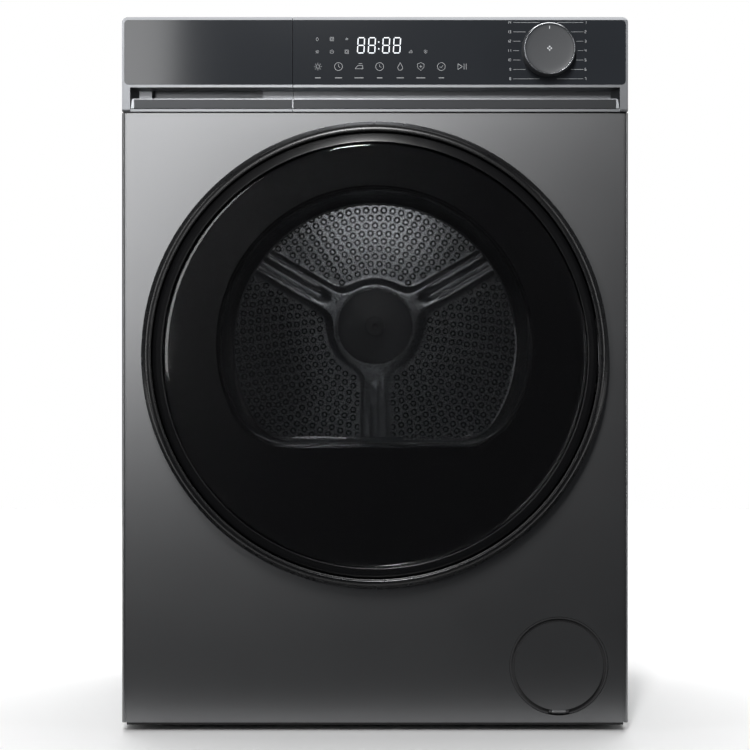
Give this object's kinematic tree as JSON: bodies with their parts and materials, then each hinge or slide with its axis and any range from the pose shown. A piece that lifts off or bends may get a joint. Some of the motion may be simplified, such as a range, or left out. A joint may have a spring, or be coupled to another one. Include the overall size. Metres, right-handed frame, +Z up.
{
  "type": "clothes dryer",
  "caption": "Front-loading heat-pump tumble dryer with a round glass door, perforated drum, water tank drawer, control knob and round service cover.",
  "frame": {"origin": "bottom centre of the object's box, on the floor under the feet", "axes": "+X to the right seen from the front, +Y to the back, +Z up; the door faces -Y"},
  "size_m": [0.595, 0.65, 0.839],
  "materials": {
    "cabinet_paint": "dark silver metallic paint, satin",
    "fascia_silver": "satin silver grey plastic",
    "fascia_glass": "dark grey glass with a printed back",
    "knob": "dark grey satin plastic",
    "door_black": "piano black plastic",
    "door_glass": "smoked glass",
    "door_frame": "black matt plastic",
    "bowl": "clear polycarbonate",
    "zinc": "zinc-plated steel",
    "galvanised": "galvanised sheet steel",
    "stainless": "stainless sheet, satin",
    "hub": "grey plastic",
    "bearing_steel": "ground steel",
    "bulkhead": "dark grey moulded plastic",
    "felt": "pressed felt",
    "rubber": "black rubber",
    "roller": "hard black plastic",
    "filter": "grey plastic frame with a fine mesh",
    "base": "black moulded plastic",
    "tank": "translucent grey plastic",
    "fins": "aluminium fins",
    "compressor": "black painted steel",
    "copper": "drawn copper",
    "motor": "cast aluminium frame",
    "board": "printed board",
    "foot": "hard black rubber"
  },
  "bodies": {
    "root": {"base_tray": "base", "left_side_panel": "cabinet_paint", "right_side_panel": "cabinet_paint", "rear_panel": "galvanised", "rear_duct_cover": "galvanised", "front_panel": "cabinet_paint", "top_cover": "cabinet_paint", "control_panel": "fascia_silver", "control_glass": "fascia_glass", "display_board": "board", "front_bulkhead": "bulkhead", "door_seal": "rubber", "drum_front_seal": "felt", "sensor_bars": "stainless", "lint_duct": "base", "evaporator": "fins", "condenser": "fins", "exchanger_cover": "base", "compressor": "compressor", "refrigerant_pipes": "copper", "blower_housing": "base", "motor_body": "motor", "condensate_pump": "tank", "tank_cradle": "base", "drum_belt": "rubber", "rear_bulkhead": "galvanised", "rear_bearing": "bearing_steel", "door_lock": "door_frame", "hinge_bracket": "zinc", "mains_inlet": "base", "rear_screws": "zinc", "control_module": "base", "fan_housing": "base", "service_bezel": "base"},
    "door": {"door_ring": "door_black", "door_glass": "door_glass", "door_inner_frame": "door_frame", "door_bowl": "bowl", "door_hook": "zinc"},
    "drawer": {"drawer_front": "fascia_silver", "drawer_glass": "fascia_glass", "water_tank": "tank"},
    "knob": {"program_knob": "knob"},
    "drum": {"drum_shell": "stainless", "drum_rear_wall": "stainless", "hub_cap": "hub", "drum_lifters": "hub", "drum_shaft": "bearing_steel"},
    "motor_rotor": {"motor_shaft": "bearing_steel", "blower_wheel": "tank"},
    "idler": {"belt_idler": "roller"},
    "left_roller": {"left_support_roller": "roller"},
    "right_roller": {"right_support_roller": "roller"},
    "filter": {"lint_filter": "filter"},
    "cover": {"service_cover": "cabinet_paint"},
    "fan": {"cooling_fan": "base"},
    "foot_front_left": {"front_left_foot": "foot"},
    "foot_front_right": {"front_right_foot": "foot"},
    "foot_rear_left": {"rear_left_foot": "foot"},
    "foot_rear_right": {"rear_right_foot": "foot"}
  },
  "joints": [
    {"name": "door_swing", "type": "hinge", "parent": "root", "child": "door", "pos_m": [0.262, -0.304, 0.442], "axis": [0, 0, 1], "range_deg": [0, 115]},
    {"name": "drawer_slide", "type": "slide", "parent": "root", "child": "drawer", "axis": [0, -1, 0], "range_m": [0, 0.42]},
    {"name": "knob_turn", "type": "hinge", "parent": "root", "child": "knob", "pos_m": [0.203, -0.297, 0.799], "axis": [0, -1, 0], "continuous": true},
    {"name": "drum_spin", "type": "hinge", "parent": "root", "child": "drum", "pos_m": [0, 0.232, 0.487], "axis": [0, 1, 0], "continuous": true},
    {"name": "motor_spin", "type": "hinge", "parent": "root", "child": "motor_rotor", "pos_m": [0.19, 0.1, 0.12], "axis": [0, 1, 0], "continuous": true},
    {"name": "idler_spin", "type": "hinge", "parent": "root", "child": "idler", "pos_m": [0.1135, 0.03, 0.11535], "axis": [0, 1, 0], "continuous": true},
    {"name": "left_roller_spin", "type": "hinge", "parent": "root", "child": "left_roller", "pos_m": [-0.18085, -0.217, 0.22872], "axis": [0, 1, 0], "continuous": true},
    {"name": "right_roller_spin", "type": "hinge", "parent": "root", "child": "right_roller", "pos_m": [0.18085, -0.217, 0.22872], "axis": [0, 1, 0], "continuous": true},
    {"name": "filter_lift", "type": "slide", "parent": "root", "child": "filter", "axis": [0, 0, 1], "range_m": [0, 0.15]},
    {"name": "cover_swing", "type": "hinge", "parent": "root", "child": "cover", "pos_m": [0.216, -0.287, 0.0233], "axis": [1, 0, 0], "range_deg": [0, 90]},
    {"name": "fan_spin", "type": "hinge", "parent": "root", "child": "fan", "pos_m": [-0.1795, 0.245, 0.112], "axis": [0, 1, 0], "continuous": true},
    {"name": "foot_front_left_adjust", "type": "slide", "parent": "root", "child": "foot_front_left", "axis": [0, 0, -1], "range_m": [0, 0.012]},
    {"name": "foot_front_right_adjust", "type": "slide", "parent": "root", "child": "foot_front_right", "axis": [0, 0, -1], "range_m": [0, 0.012]},
    {"name": "foot_rear_left_adjust", "type": "slide", "parent": "root", "child": "foot_rear_left", "axis": [0, 0, -1], "range_m": [0, 0.012]},
    {"name": "foot_rear_right_adjust", "type": "slide", "parent": "root", "child": "foot_rear_right", "axis": [0, 0, -1], "range_m": [0, 0.012]}
  ],
  "couplings": [
    {"joint": "motor_spin", "follows": "drum_spin", "ratio": 35.625},
    {"joint": "idler_spin", "follows": "drum_spin", "ratio": -14.25},
    {"joint": "left_roller_spin", "follows": "drum_spin", "ratio": -9.5},
    {"joint": "right_roller_spin", "follows": "drum_spin", "ratio": -9.5}
  ]
}
